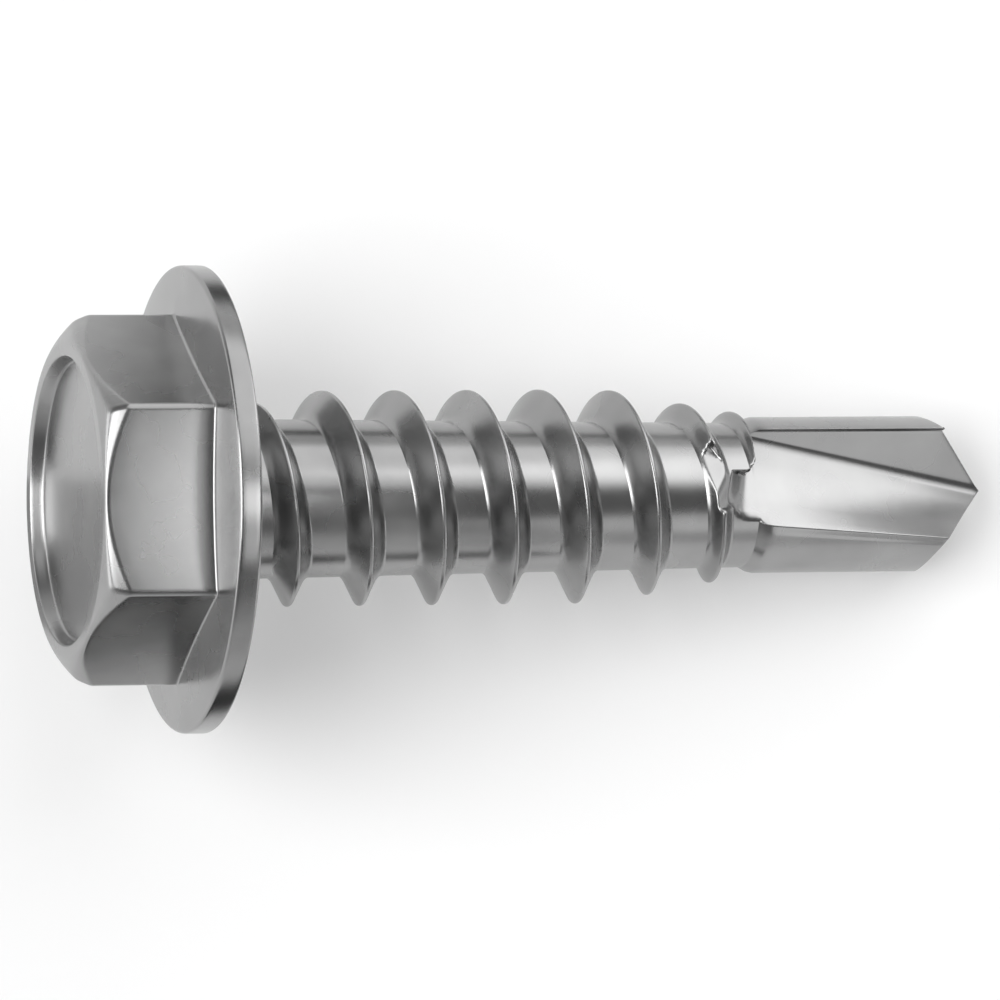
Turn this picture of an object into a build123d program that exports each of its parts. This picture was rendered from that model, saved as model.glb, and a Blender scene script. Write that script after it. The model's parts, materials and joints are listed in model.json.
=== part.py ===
from build123d import *
from math import atan2, cos, degrees, hypot, radians, sin, tan
import os

# A self drilling screw, headed, threaded and pinched to a drill point from one piece of wire.
# It is built point up about Z, with the bearing face under its flange at Z = 0,
# and laid down at the end as it comes to rest on a table.

# Head, in millimetres
across_flats = 6.26
head_height = 2.74
corner_bevel_angle = 43.0
corner_bevel_bulge = 0.09
end_face_inset = 0.07
recess_rim = 0.26
recess_wall = 0.08
recess_depth = 0.27

# Flange
flange_diameter = 9.08
flange_edge = 0.45
flange_rise = 0.08
flange_edge_round = 0.06

# Rounded transition from the bearing face to the shank, wider than the thread's crest,
# so that a sheet with a hole just clear of the thread lies flat under the head
transition_clearance = 0.12
transition_height = 0.42

# Shank, which narrows a little from the head to the neck before the drill point
shank_diameter = 3.13
neck_diameter = 2.84
head_overlap = 0.3

# Thread
thread_diameter = 4.2
thread_pitch = 1.465
thread_half_angle = 29.0
crest_flat = 0.06
root_overlap = 0.16
thread_start = 0.04
fade_in_turns = 1.0
full_turns = 4.55
run_out_turns = 1.08
run_out_diameter = 3.64
closing_turns = 1.2
closing_pitch = 1.0
closing_diameter = 3.2
thread_sink = 0.06

# Drill point
screw_length = 15.9
drill_diameter = 3.07
drill_height = 10.95
shoulder_length = 0.2
point_half_angle = 49.2
chisel_angle = 13.4

# Flutes: lip and heel are turned from the way that the dies closed,
# and the root is placed across and along that way
flute_start = 10.9
flute_angle = -133.3
lip_angle = 57.0
lip_step = 0.18
rake_angle = 22.0
heel_angle_at_start = 22.5
heel_angle_at_tip = 38.5
root_across_at_start = 1.13
root_across_at_tip = 0.04
flute_wall_hollow = 0.05
die_reach = 2.6

# The round nose of each die leaves a bowl ahead of the flute
bowl_radius = 0.55
bowl_height = 10.2
bowl_across = 0.08
bowl_out = 1.62
bowl_run = 1.1

# The shoulder of the same nose grazes the last turns of the thread
graze_radius = 0.67
graze_start = 9.3
graze_across = 0.45
graze_depth = 1.4

# The hexagon's place against the start of the thread
hexagon_angle = -13.3

# How far a cutting shape reaches past what it cuts
cutter_overreach = 0.2

flange_radius = flange_diameter / 2
shank_radius = shank_diameter / 2
neck_radius = neck_diameter / 2
thread_radius = thread_diameter / 2
drill_radius = drill_diameter / 2
hexagon_corner = across_flats / 2 / cos(radians(30))


def on_circle(radius, angle, height=0.0):
    """Give the point at an angle in degrees round the screw's axis."""
    return Vector(radius * cos(radians(angle)), radius * sin(radians(angle)), height)


# Hexagon with its corners bevelled towards the end face, on a slightly domed bevel
end_face_radius = across_flats / 2 - end_face_inset
bevel_run = hexagon_corner - end_face_radius
bevel_drop = bevel_run * tan(radians(corner_bevel_angle))
bevel_start = Vector(end_face_radius, -head_height)
bevel_end = Vector(hexagon_corner, -head_height + bevel_drop)
bevel_middle = (bevel_start + bevel_end) / 2 + Vector(1, -1).normalized() * corner_bevel_bulge

with BuildPart() as head:
    with BuildSketch() as hexagon:
        RegularPolygon(hexagon_corner, 6, rotation=hexagon_angle)
    extrude(amount=-head_height)
    with BuildSketch(Plane.XZ) as corner_bevel:
        with BuildLine():
            ThreePointArc(bevel_start, bevel_middle, bevel_end)
            Polyline(
                bevel_end,
                bevel_end + Vector(cutter_overreach, 0),
                bevel_end + Vector(cutter_overreach, -bevel_drop - cutter_overreach),
                bevel_start - Vector(0, cutter_overreach),
                bevel_start,
            )
        make_face()
    revolve(axis=Axis.Z, mode=Mode.SUBTRACT)

    # Flange, with a top that falls a little towards its rim
    with BuildSketch(Plane.XZ) as flange_half:
        with BuildLine():
            Polyline(
                (0, 0),
                (flange_radius, 0),
                (flange_radius, -flange_edge),
                (hexagon_corner, -flange_edge - flange_rise),
                (0, -flange_edge - flange_rise),
                close=True,
            )
        make_face()
        rim_corners = flange_half.vertices().group_by(Axis.X)[-1]
        fillet(rim_corners, radius=flange_edge_round)
    revolve(axis=Axis.Z)

    # Transition under the head, hollow like the rounded corner of a die
    transition_radius = thread_radius + transition_clearance
    with BuildSketch(Plane.XZ) as transition_half:
        with BuildLine():
            Polyline(
                (shank_radius, transition_height),
                (0, transition_height),
                (0, 0),
                (transition_radius, 0),
            )
            Bezier((transition_radius, 0), (shank_radius, 0), (shank_radius, transition_height))
        make_face()
    revolve(axis=Axis.Z)

    # Shallow recess in the end face, with a sloped wall
    recess_mouth = end_face_radius - recess_rim
    with BuildSketch(Plane.XZ) as recess_half:
        with BuildLine():
            Polyline(
                (0, -head_height),
                (recess_mouth, -head_height),
                (recess_mouth - recess_wall, -head_height + recess_depth),
                (0, -head_height + recess_depth),
                close=True,
            )
        make_face()
    revolve(axis=Axis.Z, mode=Mode.SUBTRACT)


def crest_run(start_turn, start_height, turns, pitch, start_radius, end_radius):
    """Give one stretch of the crest line, on a cylinder or on a slender cone."""
    rise = turns * pitch
    run = Helix(
        pitch=hypot(rise, end_radius - start_radius) / turns,
        height=rise,
        radius=start_radius,
        center=(0, 0, start_height),
        cone_angle=degrees(atan2(end_radius - start_radius, rise)),
        mode=Mode.PRIVATE,
    )
    return run.rotate(Axis.Z, 360 * (start_turn - fade_in_turns))


# Thread: a pointed ridge that rises out of the shank under the head,
# and sinks back towards the drill point without losing its sharp crest, with its last
# turn closer to the one before
fade_in_radius = shank_radius - thread_sink
run_out_radius = run_out_diameter / 2
closing_radius = closing_diameter / 2
full_end = fade_in_turns + full_turns
run_out_end = full_end + run_out_turns
full_height = thread_start + fade_in_turns * thread_pitch
run_out_height = thread_start + full_end * thread_pitch
closing_height = thread_start + run_out_end * thread_pitch
ridge_depth = thread_radius - shank_radius + root_overlap
ridge_half_width = crest_flat / 2 + ridge_depth * tan(radians(thread_half_angle))
first_turn = on_circle(1, -360 * fade_in_turns)
crest_stretches = [
    (0, thread_start, fade_in_turns, thread_pitch, fade_in_radius, thread_radius),
    (fade_in_turns, full_height, full_turns, thread_pitch, thread_radius, thread_radius),
    (full_end, run_out_height, run_out_turns, thread_pitch, thread_radius, run_out_radius),
    (run_out_end, closing_height, closing_turns, closing_pitch, run_out_radius, closing_radius),
]

with BuildPart() as thread:
    with BuildLine() as crest_line:
        for stretch in crest_stretches:
            add(crest_run(*stretch))
    start_plane = Plane(
        origin=first_turn * fade_in_radius + Vector(0, 0, thread_start),
        x_dir=first_turn,
        z_dir=Vector(0, 0, 1).cross(first_turn),
    )
    with BuildSketch(start_plane) as ridge:
        with BuildLine():
            Polyline(
                (0, crest_flat / 2),
                (-ridge_depth, ridge_half_width),
                (-ridge_depth, -ridge_half_width),
                (0, -crest_flat / 2),
                close=True,
            )
        make_face()
    sweep(path=crest_line.wires()[0], is_frenet=True)

# Threaded shank, a slender cone cut off square where the drill point's stock begins
trimmed_turns = 1.5
shank_reach = drill_height + trimmed_turns * thread_pitch
shank_narrowing = (shank_radius - neck_radius) / drill_height
reach_radius = shank_radius - shank_narrowing * shank_reach

with BuildPart() as shank:
    with BuildSketch(Plane.XZ) as shank_half:
        with BuildLine():
            Polyline(
                (0, -head_overlap),
                (shank_radius, -head_overlap),
                (shank_radius, 0),
                (reach_radius, shank_reach),
                (0, shank_reach),
                close=True,
            )
        make_face()
    revolve(axis=Axis.Z)
    add(thread.part)
    split(bisect_by=Plane.XY.offset(drill_height), keep=Keep.BOTTOM)

    # Round stock of the drill point, a little stouter than the neck
    with BuildSketch(Plane.XZ) as stock_half:
        with BuildLine():
            Polyline(
                (0, drill_height),
                (neck_radius, drill_height),
                (drill_radius, drill_height + shoulder_length),
                (drill_radius, screw_length),
                (0, screw_length),
                close=True,
            )
        make_face()
    revolve(axis=Axis.Z)

# Flutes: each is a groove with a flat rake face under the lip and a wall that
# leans back to the heel, and it deepens to a thin web at the point
flute_frame = Plane.XY.rotated((0, 0, flute_angle))
flute_end = screw_length + cutter_overreach
taper_length = screw_length - flute_start


def between(at_start, at_tip, height):
    """Give a size that changes evenly from the start of the flute to the tip."""
    return at_start + (at_tip - at_start) * (height - flute_start) / taper_length


def flute_section(height):
    """Draw the groove as it is at one height, on the flute's own plane."""
    root_across = between(root_across_at_start, root_across_at_tip, height)
    heel_angle = between(heel_angle_at_start, heel_angle_at_tip, height)

    lip = on_circle(drill_radius, 90 - lip_angle)
    step = on_circle(lip_step, 90 - rake_angle / 2)
    rake_outer = lip - step
    root = rake_outer - Vector(1, tan(radians(rake_angle))) * (rake_outer.X - root_across)
    heel = on_circle(drill_radius, 90 + heel_angle)
    wall = (heel - root).normalized()
    hollow = Vector(wall.Y, -wall.X) * flute_wall_hollow
    heel_outer = root + wall * ((heel - root).length + die_reach - drill_radius)
    middle = (root + heel_outer) / 2 - hollow

    with BuildSketch(flute_frame.offset(height)) as section:
        with BuildLine():
            ThreePointArc(root, middle, heel_outer)
            Polyline(
                heel_outer,
                (heel_outer.X, die_reach),
                (lip.X, die_reach),
                lip + step,
                rake_outer,
                root,
            )
        make_face()
    return section.sketch


with BuildPart() as flute_cut:
    loft([flute_section(flute_start), flute_section(flute_end)])
    nose_plane = Plane(
        origin=flute_frame.from_local_coords((bowl_across, bowl_out, bowl_height)),
        x_dir=flute_frame.x_dir,
        z_dir=(0, 0, 1),
    )
    with Locations(nose_plane):
        Sphere(bowl_radius)
    with BuildSketch(nose_plane):
        Circle(bowl_radius)
    extrude(amount=bowl_run)
    with BuildSketch(flute_frame.offset(graze_start)):
        with Locations((graze_across, graze_depth + graze_radius)):
            Circle(graze_radius)
    extrude(amount=flute_start + cutter_overreach - graze_start)

# The whole screw, with two flutes half a turn apart
chisel_frame = Plane(
    origin=(0, 0, 0),
    x_dir=on_circle(1, flute_angle - chisel_angle),
    z_dir=on_circle(1, flute_angle - chisel_angle - 90),
)
roof_side = flange_diameter
roof_drop = roof_side / tan(radians(point_half_angle))

with BuildPart() as upright:
    add(head.part)
    add(shank.part)
    with PolarLocations(0, 2):
        add(flute_cut.part, mode=Mode.SUBTRACT)

    # Two flat end facets that meet in the chisel edge
    with BuildSketch(chisel_frame) as point_roof:
        with BuildLine():
            Polyline(
                (0, screw_length),
                (roof_side, screw_length - roof_drop),
                (roof_side, -screw_length),
                (-roof_side, -screw_length),
                (-roof_side, screw_length - roof_drop),
                close=True,
            )
        make_face()
    extrude(amount=roof_side, both=True, mode=Mode.INTERSECT)

# The screw lies on the rim of its flange and on both edges of the lower flute, which
# can't roll. The three points give the floor, first tried with the flute square below.
tip_frame = Plane.XY.rotated((0, 0, flute_angle + 180))


def edge_corner(angle):
    """Give the end of a flute edge, where the edge meets the end facet."""
    across = drill_radius * cos(radians(90 - angle + chisel_angle))
    height = screw_length - abs(across) / tan(radians(point_half_angle))
    return tip_frame.from_local_coords(on_circle(drill_radius, 90 - angle, height))


lip_corner = edge_corner(lip_angle)
heel_corner = edge_corner(-between(heel_angle_at_start, heel_angle_at_tip, lip_corner.Z))
corner_sum = lip_corner + heel_corner
down = Vector(corner_sum.X, corner_sum.Y, 0)
floor_tries = 8
for _ in range(floor_tries):
    rim_point = down.normalized() * flange_radius
    up = (lip_corner - rim_point).cross(heel_corner - rim_point).normalized()
    down = Vector(-up.X, -up.Y, 0)

along = Vector(0, 0, 1)
floor = Plane(origin=rim_point, x_dir=along - up * up.Z, z_dir=up)

with BuildPart(Plane(floor.location.inverse())) as lying:
    add(upright.part)

lying_box = lying.part.bounding_box()
under_middle = Vector(lying_box.center().X, lying_box.center().Y, lying_box.min.Z)
with BuildPart(Plane(origin=-under_middle)) as screw:
    add(lying.part)

screw.part.label = "screw"
os.makedirs("parts", exist_ok=True)
export_step(screw.part, "parts/screw.step")
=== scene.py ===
import json
import bpy
import numpy as np
from mathutils import Matrix, Vector


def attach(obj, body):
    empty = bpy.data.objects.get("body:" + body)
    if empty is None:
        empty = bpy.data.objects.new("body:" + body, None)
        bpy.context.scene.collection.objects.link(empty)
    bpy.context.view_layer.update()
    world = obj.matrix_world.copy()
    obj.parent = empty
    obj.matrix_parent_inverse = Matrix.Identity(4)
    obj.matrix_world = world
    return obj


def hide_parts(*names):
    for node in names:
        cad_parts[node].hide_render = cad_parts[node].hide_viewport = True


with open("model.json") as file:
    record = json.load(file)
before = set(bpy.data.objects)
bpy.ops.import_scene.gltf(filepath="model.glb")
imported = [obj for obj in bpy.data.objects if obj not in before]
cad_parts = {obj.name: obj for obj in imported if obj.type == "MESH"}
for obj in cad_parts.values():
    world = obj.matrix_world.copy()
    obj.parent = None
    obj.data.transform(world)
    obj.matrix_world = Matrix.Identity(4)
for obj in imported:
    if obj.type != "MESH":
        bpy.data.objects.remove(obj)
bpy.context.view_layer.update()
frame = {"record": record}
print("frame loaded")

# The screw is drawn in its own axes, in millimetres: along its axis from the bearing face
# under the flange to the point, "across" and "out" square to it. Out faces the flute.
lie = {
    "rollAngle": 10.249,  # how far the flute is turned from straight up, in degrees
    "headHeight": 2.74,
}
mounts = {m["name"]: m for m in frame["record"]["mounts"]}
alongAxis = np.array(mounts["under_head"]["axis"])
alongAxis = alongAxis / np.linalg.norm(alongAxis)
sideways = np.array([0.0, 1.0, 0.0])
overAxis = np.cross(alongAxis, sideways)
rollTurn = np.radians(lie["rollAngle"])
acrossAxis = np.cos(rollTurn) * sideways + np.sin(rollTurn) * overAxis
outAxis = np.cos(rollTurn) * overAxis - np.sin(rollTurn) * sideways
bearingCentre = np.array(mounts["hex_drive"]["pos_m"]) * 1000 + alongAxis * lie["headHeight"]


def placed(across, out, along):
    # point = centre + across * a + out * o + along * l, turned from millimetres to metres
    spot = across[..., None] * acrossAxis + out[..., None] * outAxis + along[..., None] * alongAxis
    return (bearingCentre + spot) / 1000


def smoothStep(start, end, x):
    # 3 t^2 - 2 t^3, with t running from 0 at start to 1 at end
    t = np.clip((x - start) / (end - start), 0, 1)
    return t * t * (3 - 2 * t)


def softMin(a, b, reach):
    # min(a, b) - h^2 reach / 4, where h falls from 1 at a = b to 0 where they are a reach apart
    h = np.clip(reach - np.abs(a - b), 0, None) / reach
    return np.minimum(a, b) - h * h * reach / 4


def softMax(a, b, reach):
    # the same turned over: -softMin(-a, -b)
    return -softMin(-a, -b, reach)


def bowed(t, start, middle, end):
    # parabola: (1 - t)^2 start + 2 t (1 - t) middle + t^2 end
    return (1 - t) ** 2 * start + 2 * t * (1 - t) * middle + t ** 2 * end


wholeRun = 9  # a lead longer than any run, so that the curve takes up all that it may
mostOfRun = 0.48  # the share of a straight run that a corner at one of its ends may take


def roundedPath(profile):
    # straight runs between corners, each bowed from one lead before it to one lead after it.
    # An entry of profile is (x, y, lead, rows in the corner, rows in the run after it), where
    # a lead may be a pair, for before and after. The answer is (row, column, x or y).
    corners = [np.stack(np.broadcast_arrays(x, y), axis=-1) for x, y, *_ in profile]
    leads, cornerRows, runRows = zip(*[entry[2:] for entry in profile])
    last = corners[0]
    rows = [last[None]]
    for k in range(1, len(corners) - 1):
        before, after = corners[k - 1] - corners[k], corners[k + 1] - corners[k]
        lengthBefore = np.linalg.norm(before, axis=-1, keepdims=True)
        lengthAfter = np.linalg.norm(after, axis=-1, keepdims=True)
        leadIn, leadOut = leads[k] if isinstance(leads[k], tuple) else (leads[k], leads[k])
        start = corners[k] + before / lengthBefore * np.minimum(leadIn, lengthBefore * mostOfRun)
        end = corners[k] + after / lengthAfter * np.minimum(leadOut, lengthAfter * mostOfRun)
        t = np.arange(1, runRows[k - 1])[:, None, None] / runRows[k - 1]
        rows.append(last + (start - last) * t)
        rows.append(bowed(np.linspace(0, 1, cornerRows[k])[:, None, None], start, corners[k], end))
        last = end
    t = np.arange(1, runRows[-2] + 1)[:, None, None] / runRows[-2]
    rows.append(last + (corners[-1] - last) * t)
    return np.concatenate(rows)


def quads(*cornersOfFaces):
    # four arrays of vertex numbers, one for each corner, as a list of faces
    return np.stack(cornersOfFaces, axis=-1).reshape(-1, 4).tolist()


# Head, flange and shank, in millimetres
head = {
    "acrossFlats": 6.26,
    "height": lie["headHeight"],
    "cornerRound": 0.16,  # the hexagon's six long edges
    "bevelAngle": 43.0,  # degrees
    "bevelBulge": 0.22,  # how far the corner bevel is domed, against its length
    "endInset": 0.07,
    "recessRim": 0.26,
    "recessWall": 0.08,
    "recessDepth": 0.27,
    "recessMiddle": 0.5,  # radius of the first ring round the middle
    "flangeRadius": 4.54,
    "flangeEdge": 0.45,
    "flangeRise": 0.08,
    "transitionRadius": 2.22,
    "transitionHeight": 0.42,
    "transitionEnd": 0.6,  # where the head's rows end on the shank
    "shankRadius": 1.565,
    "neckRadius": 1.42,
}


def hexagonRadius(turn):
    # apothem / cos(angle from the middle of the flat), with an arc at each corner
    apothem, arc = head["acrossFlats"] / 2, head["cornerRound"]
    off = np.abs((turn + np.pi / 6) % (np.pi / 3) - np.pi / 6)
    centre = (apothem - arc) / np.cos(np.pi / 6)
    arcEnd = np.arctan2(arc / 2, centre + arc * np.cos(np.pi / 6))
    onArc = centre * np.cos(off) + np.sqrt(np.clip(arc ** 2 - (centre * np.sin(off)) ** 2, 0, None))
    return np.where(off < arcEnd, onArc, apothem / np.cos(np.pi / 6 - off))


def headRows(turn):
    # for each angle, a rounded profile of (radius, along) from the recess to the shank
    r, one = hexagonRadius(turn), np.ones_like(turn)
    top, face = -head["height"], head["acrossFlats"] / 2 - head["endInset"]
    slope = np.tan(np.radians(head["bevelAngle"]))
    corner = head["acrossFlats"] / 2 / np.cos(np.pi / 6)
    fall = head["flangeRise"] * (head["flangeRadius"] - r) / (head["flangeRadius"] - corner)
    bulge = head["bevelBulge"] * (r - face)
    mouth, floor = face - head["recessRim"], top + head["recessDepth"]
    transition = head["transitionRadius"] - head["shankRadius"], head["transitionHeight"]
    return roundedPath([
        (head["recessMiddle"] * one, floor * one, 0, 0, 5),
        ((mouth - head["recessWall"]) * one, floor * one, 0.05, 6, 4),
        (mouth * one, top * one, 0.03, 5, 3),
        (face * one, top * one, 0.045, 6, 3),
        ((r + face) / 2 + bulge, top + (r - face) / 2 * slope - bulge, wholeRun, 7, 3),
        (r, top + (r - face) * slope, 0.06, 7, 6),
        (r, -head["flangeEdge"] - fall, 0.06, 7, 4),
        (head["flangeRadius"] * one, -head["flangeEdge"] * one, 0.07, 7, 4),
        (head["flangeRadius"] * one, 0 * one, 0.06, 6, 8),
        (head["shankRadius"] * one, 0 * one, transition, 9, 2),
        (head["shankRadius"] * one, head["transitionEnd"] * one, 0, 0, 0),
    ])


# Drill point, in millimetres and degrees. Angles count from across towards out.
point = {
    "length": 15.9,
    "radius": 1.535,
    "stockStart": 10.95,
    "shoulder": 0.2,
    "fluteStart": 10.9,
    "fluteSink": (-0.02, 0.09),  # where the flute's end wall begins and ends, from its start
    "lipAngle": 57.0,
    "lipStep": 0.18,
    "rakeAngle": 22.0,
    "heelAngles": (22.5, 38.5),  # at the flute's start and at the point, as is the next
    "rootAcross": (1.13, 0.04),
    "stepRound": 0.035,
    "rootRound": 0.16,
    "wallHollow": 0.05,
    "land": 5.0,  # how far the closer columns run on past the lip and the heel
    "pointHalfAngle": 49.2,
    "chiselAngle": 13.4,
    "edgeRound": 0.03,
}
columnsPerHalf = 170


def fluteOutline(heelAngle, rootAcross):
    # half of the section: lip, step, rake face, root, hollow wall, heel, then the land
    radius, land, edge = point["radius"], point["land"], point["edgeRound"]

    def onRim(angle):
        return radius * np.array([np.cos(np.radians(angle)), np.sin(np.radians(angle))])

    lipTurn, heelTurn = 90 - point["lipAngle"], 90 + heelAngle
    lip, heel = onRim(lipTurn), onRim(heelTurn)
    stepTurn = np.radians(90 - point["rakeAngle"] / 2)
    rake = lip - point["lipStep"] * np.array([np.cos(stepTurn), np.sin(stepTurn)])
    root = rake - np.array([1, np.tan(np.radians(point["rakeAngle"]))]) * (rake[0] - rootAcross)
    wall = (heel - root) / np.linalg.norm(heel - root)
    middle = (root + heel) / 2 + 2 * point["wallHollow"] * np.array([-wall[1], wall[0]])
    turns = [
        (onRim(lipTurn - land), 0, 0, 3),
        (lip, edge, 7, 3),
        (rake, point["stepRound"], 5, 16),
        (root, point["rootRound"], 10, 3),
        (middle, wholeRun, 60, 3),
        (heel, edge, 7, 4),
        (onRim(heelTurn + land), 0, 0, 0),
    ]
    path = roundedPath([(*spot[:, None], *rounding) for spot, *rounding in turns])[:, 0]
    landColumns = columnsPerHalf - len(path)
    landTurns = np.linspace(heelTurn + land, 180 + lipTurn - land, landColumns + 2)[1:-1]
    return np.concatenate([path, onRim(landTurns).T]), len(path)


def stockRadius(along):
    # the shank narrows evenly to the neck, and the shoulder widens to the drill
    shoulderEnd = point["stockStart"] + point["shoulder"]
    return np.interp(along, [0, point["stockStart"], shoulderEnd],
                     [head["shankRadius"], head["neckRadius"], point["radius"]])


startHalf, grooveCount = fluteOutline(point["heelAngles"][0], point["rootAcross"][0])
endHalf, grooveCount = fluteOutline(point["heelAngles"][1], point["rootAcross"][1])
startRing = np.concatenate([startHalf, -startHalf])
endRing = np.concatenate([endHalf, -endHalf])
startWall, endWall = startHalf[:grooveCount][::-1], endHalf[:grooveCount][::-1]

# Turn of each column, in radians: round the shank, in the flutes, and round the hexagon
columns = len(startRing)
turnStart = 90 - point["lipAngle"] - point["land"]  # degrees, as the flute's outline has it
cornerCrowding = 0.8  # how much closer together the columns are at the hexagon's corners
evenTurn = np.radians(turnStart + 360 * np.arange(columns) / columns)
halfTurn = np.arccos(np.clip(startHalf[:, 0] / point["radius"], -1, 1))
halfTurn = np.where(startHalf[:, 1] < 0, 2 * np.pi - halfTurn, halfTurn)
fluteTurn = np.concatenate([halfTurn, halfTurn + np.pi])
headTurn = evenTurn - cornerCrowding * np.sin(6 * evenTurn) / 6
isLand = np.tile(np.arange(columnsPerHalf) >= grooveCount, 2)

# What the round nose of the pinching die left ahead of the flute, in millimetres, with slopes
# as rise over run. A pair along the screw is where something sets in and where it is whole.
bowl = {
    "setsIn": (9.4, 9.5),
    "endInFlute": 0.1,  # how far inside the flute it ends, and over how much it fades there
    "facet": (1.66, -0.47),  # the crest that it pressed flat: out at the middle, and slope
    "facetTop": 1.03,  # across, at the highest point of the facet's upper edge
    "facetPeak": 9.96,  # along, at that point
    "facetTaper": 1.6,  # slope of the upper edge to both sides of it
    "facetWall": 5.0,  # slope of the wall above that edge
    "hollowStart": (10.04, -0.34, 1.6),  # along, across and out, at both ends of its deepest line
    "hollowEnd": (10.84, 0.21, 0.96),
    "lowerSlope": 0.47,  # slopes below and above that line
    "upperSlope": 0.08,
    "toFluteWall": (10.35, 10.88),  # where the hollow goes over into the flute's wall
    "padTop": 1.25,  # the pad of shank that it missed, beside the flute: out at its edge
    "padEdge": 0.47,  # across, at that edge
    "padEnd": 10.84,
    "padCorner": 0.16,
    "padSlope": 7.0,  # of the pad's side, and next of its end
    "padEndSlope": 12.0,
    "padSoft": 0.06,
    "lowerWall": (1.45, 2.3),  # the wall on the low side: out at its edge, and slope
    "lowerEdge": (-0.2, -0.62),  # across, at that edge: at first, and at the flute's start
    "lowerEdgeMoves": 10.2,  # where along the screw the edge begins to move
    "soft": 0.1,  # reach of the soft corners
    "rimSoft": 0.04,  # reach at the rim, and next what it shrinks to beside the flute
    "rimSharp": 0.001,
    "rimSharpens": (10.7, 10.86),
}


def bowlDepth(across, along):
    # how far out the metal stays: the flute's wall, rising ahead along a slanted hollow,
    # up to a facet on the crest; beside it stands the pad of shank, with a rounded corner
    soft = bowl["soft"]
    start, end = np.array(bowl["hollowStart"]), np.array(bowl["hollowEnd"])
    t = (along - start[0]) / (end[0] - start[0])
    off = across - (start[1] + (end[1] - start[1]) * t)
    deep = start[2] + (end[2] - start[2]) * t
    hollow = softMax(deep - bowl["lowerSlope"] * off, deep + bowl["upperSlope"] * off, soft)
    wall = np.interp(across, startWall[:, 0], startWall[:, 1])
    fall = wall - np.interp(across, endWall[:, 0], endWall[:, 1])
    wall = wall + fall * (point["fluteStart"] - along) / (point["length"] - point["fluteStart"])
    hollow = hollow + (wall - hollow) * smoothStep(*bowl["toFluteWall"], along)

    corner = bowl["padCorner"]
    right = np.clip(along - (bowl["padEnd"] - corner), 0, corner)
    edge = bowl["padEdge"] + corner - np.sqrt(corner ** 2 - right ** 2)
    past = np.clip(along - bowl["padEnd"], 0, None)
    pad = bowl["padTop"] + bowl["padSlope"] * (across - edge) - bowl["padEndSlope"] * past
    hollow = softMax(hollow, pad, bowl["padSoft"])

    middle, slope = bowl["facet"]
    peak = bowl["facetTop"] - bowl["facetTaper"] * np.abs(along - bowl["facetPeak"])
    facet = middle + slope * across + softMax(0 * across, bowl["facetWall"] * (across - peak), soft)
    base, slope = bowl["lowerWall"]
    low, high = bowl["lowerEdge"]
    edge = low + (high - low) * smoothStep(bowl["lowerEdgeMoves"], point["fluteStart"], along)
    return softMax(softMin(facet, hollow, soft), base + slope * (edge - across), soft)


def cutByBowl(across, out, along, below=0.0):
    # out = the smaller of out and the bowl's depth; the other flute is half a turn away
    side = np.where(out > 0, 1.0, -1.0)
    reach = bowl["rimSharp"] + bowl["rimSoft"] * (1 - smoothStep(*bowl["rimSharpens"], along))
    cut = side * softMin(out * side, bowlDepth(across * side, along) - below, reach)
    fade = bowl["endInFlute"]
    inFlute = point["fluteStart"] + fade
    share = smoothStep(*bowl["setsIn"], along) * (1 - smoothStep(inFlute, inFlute + fade, along))
    return out + (cut - out) * share


# Rows of the body's mesh, in millimetres along the screw
bodyRows = {
    "plain": (0.9, 9.1, 22),  # start, end and count
    "bowlStart": 9.2,
    "bowlStep": 0.02,
    "fluteWall": (-0.02, 0.1, 12),  # start and end from the flute's start, and count
    "drillCount": 48,
    "drillSpread": 0.9,  # under 1, so that the rows are a little closer towards the point
    "edgeCount": 6,
    "columnsMove": (9.2, 9.7),  # where they move over into the flutes
    "columnsSettle": (4.5, 2.3),  # radii under the flange where they leave the hexagon
    "underFlange": -0.2,  # rows further along than this lie under the flange, not on it
}


def ringAt(along):
    # section at each height: the round stock, going over to the fluted outline
    along = along * np.ones(columns)
    weight = (along - point["fluteStart"]) / (point["length"] - point["fluteStart"])
    groove = startRing + (endRing - startRing) * weight[..., None]
    size = np.linalg.norm(groove, axis=-1)
    stock = stockRadius(along)
    groove = groove * np.where(isLand, stock / size, np.minimum(1, stock / size))[..., None]
    turn = evenTurn + (fluteTurn - evenTurn) * smoothStep(*bodyRows["columnsMove"], along)
    plain = stock[..., None] * np.stack([np.cos(turn), np.sin(turn)], axis=-1)
    sinkStart, sinkEnd = point["fluteSink"]
    step = smoothStep(point["fluteStart"] + sinkStart, point["fluteStart"] + sinkEnd, along)
    ring = plain + (groove - plain) * step[..., None]
    return ring[..., 0], cutByBowl(ring[..., 0], ring[..., 1], along)


def upToHead():
    # rows of the head, each with the hexagon's columns down to the flange's underside
    r, along = np.moveaxis(headRows(headTurn), -1, 0)
    settle = np.where(along > bodyRows["underFlange"], smoothStep(*bodyRows["columnsSettle"], r), 0)
    turn = headTurn + (evenTurn - headTurn) * settle
    return r * np.cos(turn), r * np.sin(turn), along


def shankRows():
    # even rows on the plain shank, and closer ones where the bowl and the flute set in
    start, (wallStart, wallEnd, wallCount) = point["fluteStart"], bodyRows["fluteWall"]
    step = bodyRows["bowlStep"]
    heights = np.concatenate([
        np.linspace(*bodyRows["plain"]),
        np.arange(bodyRows["bowlStart"], start + wallStart - step / 2, step),
        np.linspace(start + wallStart, start + wallEnd, wallCount)])[:, None]
    return *ringAt(heights), heights * np.ones(columns)


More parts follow.
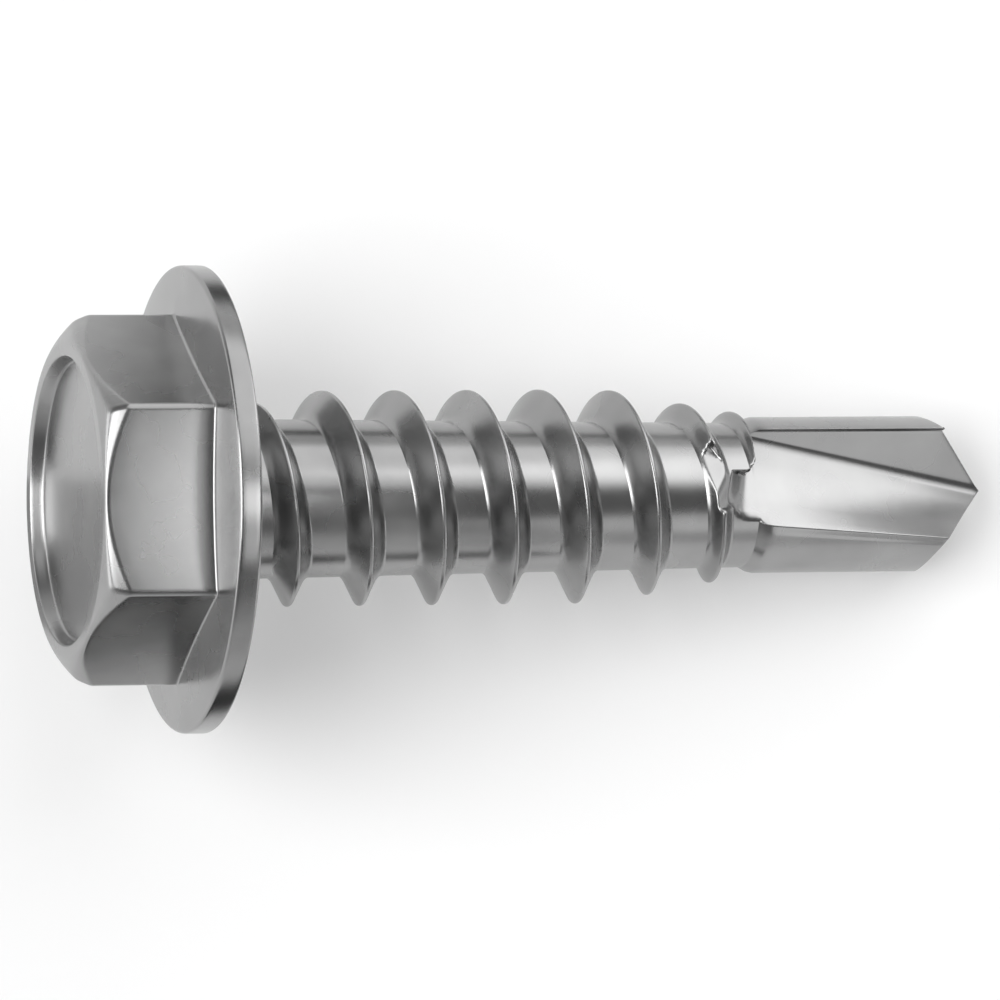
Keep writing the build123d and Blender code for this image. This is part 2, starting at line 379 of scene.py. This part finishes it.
def drillRows(first):
    # each column runs up to where it meets its end facet, at length - |distance from the
    # chisel line| / tan(half angle), and over a soft edge onto it
    slope = np.tan(np.radians(point["pointHalfAngle"]))
    chisel = np.radians(-point["chiselAngle"])
    edge, spread = point["edgeRound"], bodyRows["drillSpread"]

    def facetHeight(across, out):
        return point["length"] - np.abs(across * np.cos(chisel) + out * np.sin(chisel)) / slope

    top = np.full((1, columns), first)
    for _ in range(20):  # settles, because the flute changes slowly along the screw
        top = facetHeight(*ringAt(top))
    share = (np.arange(1, bodyRows["drillCount"] + 1)[:, None] / bodyRows["drillCount"]) ** spread
    heights = first + (top - edge - first) * share
    across, out = ringAt(heights)

    # the soft edge, from the side over the sharp edge to its own width in on the facet
    acrossEdge, outEdge = ringAt(top)
    step = np.stack([np.roll(x, -1) - np.roll(x, 1) for x in (acrossEdge, outEdge)])
    step = step / np.linalg.norm(step, axis=0)
    acrossIn, outIn = acrossEdge - step[1] * edge, outEdge + step[0] * edge
    offLine = acrossIn * np.cos(chisel) + outIn * np.sin(chisel)
    # the chisel edge ends on the two columns that are nearest to it
    half = columns // 2
    nearest = int(np.argmin(np.abs(offLine[0, :half])))
    for k in (nearest, nearest + half):
        acrossIn[0, k] -= offLine[0, k] * np.cos(chisel)
        outIn[0, k] -= offLine[0, k] * np.sin(chisel)
    inward = acrossIn, outIn, facetHeight(acrossIn, outIn)
    t = np.linspace(0, 1, bodyRows["edgeCount"])[1:, None]
    side = across[-1:], out[-1:], heights[-1:]
    rounded = [bowed(t, *ends) for ends in zip(side, (acrossEdge, outEdge, top), inward)]
    rows = [np.concatenate(pair) for pair in zip((across, out, heights), rounded)]
    return rows, nearest


def bodyMesh():
    # one skin of rings from the recess to the point, closed by a fan and the two end facets
    shank = shankRows()
    drill, nearest = drillRows(shank[2][-1, 0])
    across, out, along = (np.concatenate(rows) for rows in zip(upToHead(), shank, drill))
    count = len(across)
    pole = placed(np.zeros(1), np.zeros(1), np.array([-head["height"] + head["recessDepth"]]))
    verts = np.concatenate([placed(across.ravel(), out.ravel(), along.ravel()), pole])
    index = np.arange(count * columns).reshape(count, columns)
    side = np.roll(index, -1, axis=1)
    fan = np.stack([side[0], index[0], np.full(columns, count * columns)], axis=-1)
    last, half = index[-1], columns // 2
    facets = [last[nearest:nearest + half + 1].tolist(),
              np.concatenate([last[nearest + half:], last[:nearest + 1]]).tolist()]
    return verts, quads(index[:-1], side[:-1], side[1:], index[1:]) + fan.tolist() + facets


# Thread, in millimetres and turns
thread = {
    "diameter": 4.2,
    "pitch": 1.465,
    "start": 0.04,
    "startUnder": 0.06,  # how far its first crest lies under the shank
    "fadeIn": 1.0,
    "fullTurns": 4.55,
    "runOut": 1.28,
    "runOutDiameter": 3.52,
    "closingTurns": 1.0,
    "closingPitch": 0.9,
    "closingDiameter": 3.24,
    "halfAngle": 29.0,  # degrees
    "crestFlat": 0.06,
    "crestRound": 0.025,
    "rootRound": 0.2,
    "rootShare": 0.6,  # of the ridge's height, the most that the root's rounding takes
    "rootUnder": 0.004,  # how far the ridge's foot lies under the shank's skin
    "leastHeight": 0.02,  # of the ridge, where it has sunk away
    "skirt": 0.21,  # the edge that runs on under the shank's skin, its dip and its depth
    "skirtDip": 0.012,
    "skirtDepth": 0.2,
    "cutUnder": 0.015,  # how far under the bowl's skin the die cut it
    "goneWithin": 0.05,
    "goneTo": 0.4,  # inside the flute it shrinks to this share, and so is hidden
    "startTurn": 133.3,  # where its full height starts, in degrees from across towards out
    "stepsPerTurn": 200,
}


def crestLine(travel):
    # crest radius and place along the screw: rising from the shank, level, then sinking in
    # two stages, the last of them at a closer pitch
    fullEnd = thread["fadeIn"] + thread["fullTurns"]
    closing = fullEnd + thread["runOut"]
    crest = np.interp(
        travel, [0, thread["fadeIn"], fullEnd, closing, closing + thread["closingTurns"]],
        [head["shankRadius"] - thread["startUnder"], thread["diameter"] / 2,
         thread["diameter"] / 2, thread["runOutDiameter"] / 2, thread["closingDiameter"] / 2])
    centre = thread["start"] + travel * thread["pitch"]
    closer = thread["pitch"] - thread["closingPitch"]
    return crest, centre - np.clip(travel - closing, 0, None) * closer


def threadMesh():
    # a ridge carried along a helix: across the ridge, a rounded profile of (along, radius)
    turns = sum(thread[k] for k in ("fadeIn", "fullTurns", "runOut", "closingTurns"))
    steps = int(turns * thread["stepsPerTurn"])
    travel = np.linspace(0.0, turns, steps)
    crest, centre = crestLine(travel)
    base = stockRadius(centre) - thread["rootUnder"]
    flat = thread["crestFlat"] / 2
    height = np.clip(crest - base, thread["leastHeight"], None)
    half = flat + height * np.tan(np.radians(thread["halfAngle"]))
    skirt = half + thread["skirt"]
    deep, dip = base - thread["skirtDepth"], base - thread["skirtDip"]
    root = np.minimum(thread["rootRound"], height * thread["rootShare"])[:, None]
    tip, sharp = thread["crestRound"], 0.001
    rows = roundedPath([
        (-skirt, deep, 0, 0, 1),
        (-skirt, dip, sharp, 2, 2),
        (-half, base, root, 8, 4),
        (-flat, base + height, tip, 5, 2),
        (flat, base + height, tip, 5, 4),
        (half, base, root, 8, 2),
        (skirt, dip, sharp, 2, 1),
        (skirt, deep, 0, 0, 0),
    ])
    along, r = centre + rows[..., 0], rows[..., 1]
    turn = np.radians(thread["startTurn"] + 360 * (travel - thread["fadeIn"]))
    across, out = r * np.cos(turn), r * np.sin(turn)
    out = cutByBowl(across, out, along, thread["cutUnder"])
    within = thread["goneWithin"]
    gone = smoothStep(point["fluteStart"] - within, point["fluteStart"] + within, along)
    left = 1 - (1 - thread["goneTo"]) * gone
    verts = placed((across * left).ravel(), (out * left).ravel(), along.ravel())
    index = np.arange(along.size).reshape(along.shape)
    lower = np.roll(index, -1, axis=0)
    ends = [index[:, 0].tolist(), index[::-1, -1].tolist()]
    return verts, quads(index[:, :-1], lower[:, :-1], lower[:, 1:], index[:, 1:]) + ends


def shownPiece(name, verts, faces):
    # a smooth object at the origin, which rides the part's one body in its solid's place
    mesh = bpy.data.meshes.new(name)
    mesh.from_pydata(verts.tolist(), [], faces)
    mesh.validate()
    mesh.shade_smooth()
    piece = bpy.data.objects.new(name, mesh)
    bpy.context.scene.collection.objects.link(piece)
    weights = piece.modifiers.new("faceNormals", "WEIGHTED_NORMAL")
    weights.weight = 100  # large faces alone give the normals, so the flats look flat
    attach(piece, "root")
    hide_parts("screw")
    return piece


body = shownPiece("screwBody", *bodyMesh())
print("body drawn:", len(body.data.polygons), "faces")
ridge = shownPiece("screwThread", *threadMesh())
print("thread drawn:", len(ridge.data.polygons), "faces")


def linearColour(code):
    # sRGB hex to linear: ((c + 0.055) / 1.055) ^ 2.4 above 0.04045, c / 12.92 below
    c = np.array([int(code[i:i + 2], 16) / 255 for i in (1, 3, 5)])
    c = np.where(c > 0.04045, ((c + 0.055) / 1.055) ** 2.4, c / 12.92)
    return (*c.tolist(), 1.0)


def addNode(tree, kind, settings=None, links=None):
    # makes a node; settings are its attributes and socket values, links its inputs
    node = tree.nodes.new(kind)
    for key, value in (settings or {}).items():
        if isinstance(key, int) or key in node.inputs:
            node.inputs[key].default_value = value
        else:
            setattr(node, key, value)
    for key, socket in (links or {}).items():
        tree.links.new(socket, node.inputs[key])
    return node


def newMaterial(name):
    material = bpy.data.materials.new(name)
    material.use_nodes = True
    tree = material.node_tree
    tree.nodes.clear()
    return material, tree


# Zinc-plated steel: a bright plated metal that is faintly uneven from rolling and plating,
# so its reflections are soft-edged and a little broken, and no two spots are quite as bright
plating = {
    "light": "#a8a8a8",
    "dark": "#8c8c8c",
    "cloudRange": (0.15, 0.85),  # the pattern's values at dark and at light
    "roughness": 0.27,
    "roughnessSpread": 0.06,
    "cloudSize": 1.6,  # millimetres
    "grainSize": 0.09,  # millimetres, coarser than real plating so that it shows
    "grainDepth": 0.0006,  # millimetres
    "grainStrength": 0.5,
}


def zincPlatedSteel():
    material, tree = newMaterial("zincPlatedSteel")
    place = addNode(tree, "ShaderNodeTexCoord").outputs["Object"]
    clouds = addNode(tree, "ShaderNodeTexNoise",
                     {"Scale": 1000 / plating["cloudSize"], "Detail": 3.0}, {"Vector": place})
    grain = addNode(tree, "ShaderNodeTexNoise",
                    {"Scale": 1000 / plating["grainSize"], "Detail": 2.0}, {"Vector": place})
    colour = addNode(tree, "ShaderNodeValToRGB", {}, {"Fac": clouds.outputs["Fac"]})
    shades = plating["dark"], plating["light"]
    for element, position, shade in zip(colour.color_ramp.elements, plating["cloudRange"], shades):
        element.position, element.color = position, linearColour(shade)
    rough = addNode(tree, "ShaderNodeMapRange",
                    {"To Min": plating["roughness"] - plating["roughnessSpread"],
                     "To Max": plating["roughness"] + plating["roughnessSpread"]},
                    {"Value": clouds.outputs["Fac"]})
    bump = addNode(tree, "ShaderNodeBump",
                   {"Strength": plating["grainStrength"], "Distance": plating["grainDepth"] / 1000},
                   {"Height": grain.outputs["Fac"]})
    steel = addNode(tree, "ShaderNodeBsdfPrincipled", {"Metallic": 1.0},
                    {"Base Color": colour.outputs["Color"], "Roughness": rough.outputs["Result"],
                     "Normal": bump.outputs["Normal"]})
    addNode(tree, "ShaderNodeOutputMaterial", {}, {"Surface": steel.outputs["BSDF"]})
    return material


steel = zincPlatedSteel()
for piece in (body, ridge):
    piece.data.materials.append(steel)
print("material made")


def sheet(name, width, depth, material):
    # a flat rectangle with its middle at its origin, seen in the scene but no part of the screw
    x, y = width / 2, depth / 2
    mesh = bpy.data.meshes.new(name)
    mesh.from_pydata([(-x, -y, 0), (x, -y, 0), (x, y, 0), (-x, y, 0)], [], [(0, 1, 2, 3)])
    mesh.materials.append(material)
    flat = bpy.data.objects.new(name, mesh)
    bpy.context.scene.collection.objects.link(flat)
    return flat


# Camera, looking down on the lying screw with a long lens
camera = {
    "aimAlong": 6.041,  # millimetres from the bearing face to the middle of the picture
    "distance": 194.65,
    "turn": 16.644,  # degrees towards the head from square on
    "roll": -0.465,
    "lens": 357.99,
    "sensor": 36.0,
    "shiftUp": -0.003,
    "clip": (0.01, 10.0),  # metres
}


def longLens():
    # forward = along sin(turn) - out cos(turn), and right and up are then turned by the roll
    turn, roll = np.radians(camera["turn"]), np.radians(camera["roll"])
    forward = alongAxis * np.sin(turn) - outAxis * np.cos(turn)
    level = alongAxis * np.cos(turn) + outAxis * np.sin(turn)
    right = level * np.cos(roll) + acrossAxis * np.sin(roll)
    up = acrossAxis * np.cos(roll) - level * np.sin(roll)
    eye = (bearingCentre + alongAxis * camera["aimAlong"] - forward * camera["distance"]) / 1000
    lens = bpy.data.cameras.new("camera")
    lens.lens = camera["lens"]
    lens.sensor_width = camera["sensor"]
    lens.shift_y = camera["shiftUp"]
    lens.clip_start, lens.clip_end = camera["clip"]
    holder = bpy.data.objects.new("camera", lens)
    rows = np.column_stack([right, up, -forward, eye]).tolist()
    holder.matrix_world = Matrix([*rows, [0, 0, 0, 1]])
    bpy.context.scene.collection.objects.link(holder)
    bpy.context.scene.camera = holder


# Floor and sky
studio = {
    "floorSize": 6.0,  # metres
    "floorColour": "#f2f2f2",
    "floorGlow": 0.3,  # share of white in it to the camera and in reflections
    "horizon": "#d8d8d8",
    "ceiling": "#6a6a6a",
    "ceilingStart": 0.15,  # height of a direction above the horizon where the ceiling begins
    "ceilingEnd": 0.55,
}


def palePaper():
    # matt paper, to the eye nearly white with a soft shadow: part of it glows to the camera
    # and in the steel, without lighting the screw
    material, tree = newMaterial("palePaper")
    rays = addNode(tree, "ShaderNodeLightPath")
    seen = rays.outputs["Is Camera Ray"]
    for ray in ("Is Glossy Ray", "Is Transmission Ray"):
        seen = addNode(tree, "ShaderNodeMath", {"operation": "MAXIMUM"},
                       {0: seen, 1: rays.outputs[ray]}).outputs[0]
    share = addNode(tree, "ShaderNodeMath", {"operation": "MULTIPLY", 1: studio["floorGlow"]},
                    {0: seen})
    paper = addNode(tree, "ShaderNodeBsdfDiffuse", {"Color": linearColour(studio["floorColour"])})
    glow = addNode(tree, "ShaderNodeEmission", {"Strength": 1.0})
    mixed = addNode(tree, "ShaderNodeMixShader", {},
                    {"Fac": share.outputs[0], 1: paper.outputs["BSDF"],
                     2: glow.outputs["Emission"]})
    addNode(tree, "ShaderNodeOutputMaterial", {}, {"Surface": mixed.outputs["Shader"]})
    return material


def studioSky():
    # pale near the horizon, and grey overhead like an unlit ceiling
    world = bpy.data.worlds.new("studio")
    bpy.context.scene.world = world
    world.use_nodes = True
    tree = world.node_tree
    tree.nodes.clear()
    direction = addNode(tree, "ShaderNodeTexCoord").outputs["Generated"]
    height = addNode(tree, "ShaderNodeSeparateXYZ", {}, {"Vector": direction}).outputs["Z"]
    share = addNode(tree, "ShaderNodeMapRange",
                    {"interpolation_type": "SMOOTHSTEP", "From Min": studio["ceilingStart"],
                     "From Max": studio["ceilingEnd"]}, {"Value": height})
    sky = addNode(tree, "ShaderNodeMix", {"data_type": "RGBA"})
    sky.inputs[6].default_value = linearColour(studio["horizon"])
    sky.inputs[7].default_value = linearColour(studio["ceiling"])
    tree.links.new(share.outputs["Result"], sky.inputs[0])
    background = addNode(tree, "ShaderNodeBackground", {}, {"Color": sky.outputs[2]})
    addNode(tree, "ShaderNodeOutputWorld", {}, {"Surface": background.outputs["Background"]})


# Area lamps. The four named cards are small and close, like the bounce cards of a studio, so
# that each lights one part of the steel: the hexagon's front, the rim, the flute and its rake.
lamps = [
    # name, point it lights (mm), direction towards it, distance (mm), width, height (mm),
    # brightness
    ("key", (0, 0, 5), (0.43, 0.63, 0.645), 130, 150, 140, 1.3),
    ("left", (-6, 0, 5), (-0.97, 0.0, 0.22), 120, 110, 50, 2.1),
    ("top", (0, 0, 0), (-0.55, -0.05, 0.83), 220, 170, 170, 4.5),
    ("headCard", (-6.1, -0.6, 7.6), (0.493, -0.17, 0.853), 14, 4.0, 3.6, 2.1),
    ("rimCard", (-5.1, -6.8, 8.8), (0.55, 0, 0.835), 13, 12, 1.5, 3.0),
    ("fluteCard", (6.7, -0.2, 2.4), (0.472, 0.598, 0.648), 22.6, 12, 22, 1.15),
    ("rakeCard", (6.9, 0.6, 2.4), (0.406, -0.778, 0.48), 25, 12, 12, 1.0),
]


def areaLamp(name, aim, toward, distance, width, height, brightness):
    # watts = brightness * pi * area
    light = bpy.data.lights.new(name, "AREA")
    light.shape, light.size, light.size_y = "RECTANGLE", width / 1000, height / 1000
    light.energy = brightness * np.pi * width * height / 1e6
    lamp = bpy.data.objects.new(name, light)
    toward = Vector(toward).normalized()
    lamp.location = (Vector(aim) + toward * distance) / 1000
    lamp.rotation_euler = toward.to_track_quat("Z", "Y").to_euler()
    lamp.visible_camera = False
    bpy.context.scene.collection.objects.link(lamp)


# Cards that lie on the floor, seen only in the steel: two dark ones shade the hexagon's
# upper and lower sides, and a grey one the lower half of the recess
cards = [
    # name, middle (mm), width, depth (mm), colour
    ("farCard", (6.0, 22.7, 0.05), 21.2, 18.2, "#080808"),
    ("nearCard", (-3.6, -13.4, 0.05), 14, 9.4, "#080808"),
    ("endCard", (-12.2, -0.1, 0.05), 5, 3.0, "#b0b0b0"),
]


def floorCard(name, middle, width, depth, colour):
    material, tree = newMaterial(name)
    matt = addNode(tree, "ShaderNodeBsdfDiffuse", {"Color": linearColour(colour)})
    addNode(tree, "ShaderNodeOutputMaterial", {}, {"Surface": matt.outputs["BSDF"]})
    card = sheet(name, width / 1000, depth / 1000, material)
    card.location = Vector(middle) / 1000
    card.visible_camera = card.visible_shadow = card.visible_diffuse = False


longLens()
sheet("floor", studio["floorSize"], studio["floorSize"], palePaper())
studioSky()
for settings in lamps:
    areaLamp(*settings)
for settings in cards:
    floorCard(*settings)
bpy.context.scene.view_settings.view_transform = "Standard"
print("camera, floor and light set")
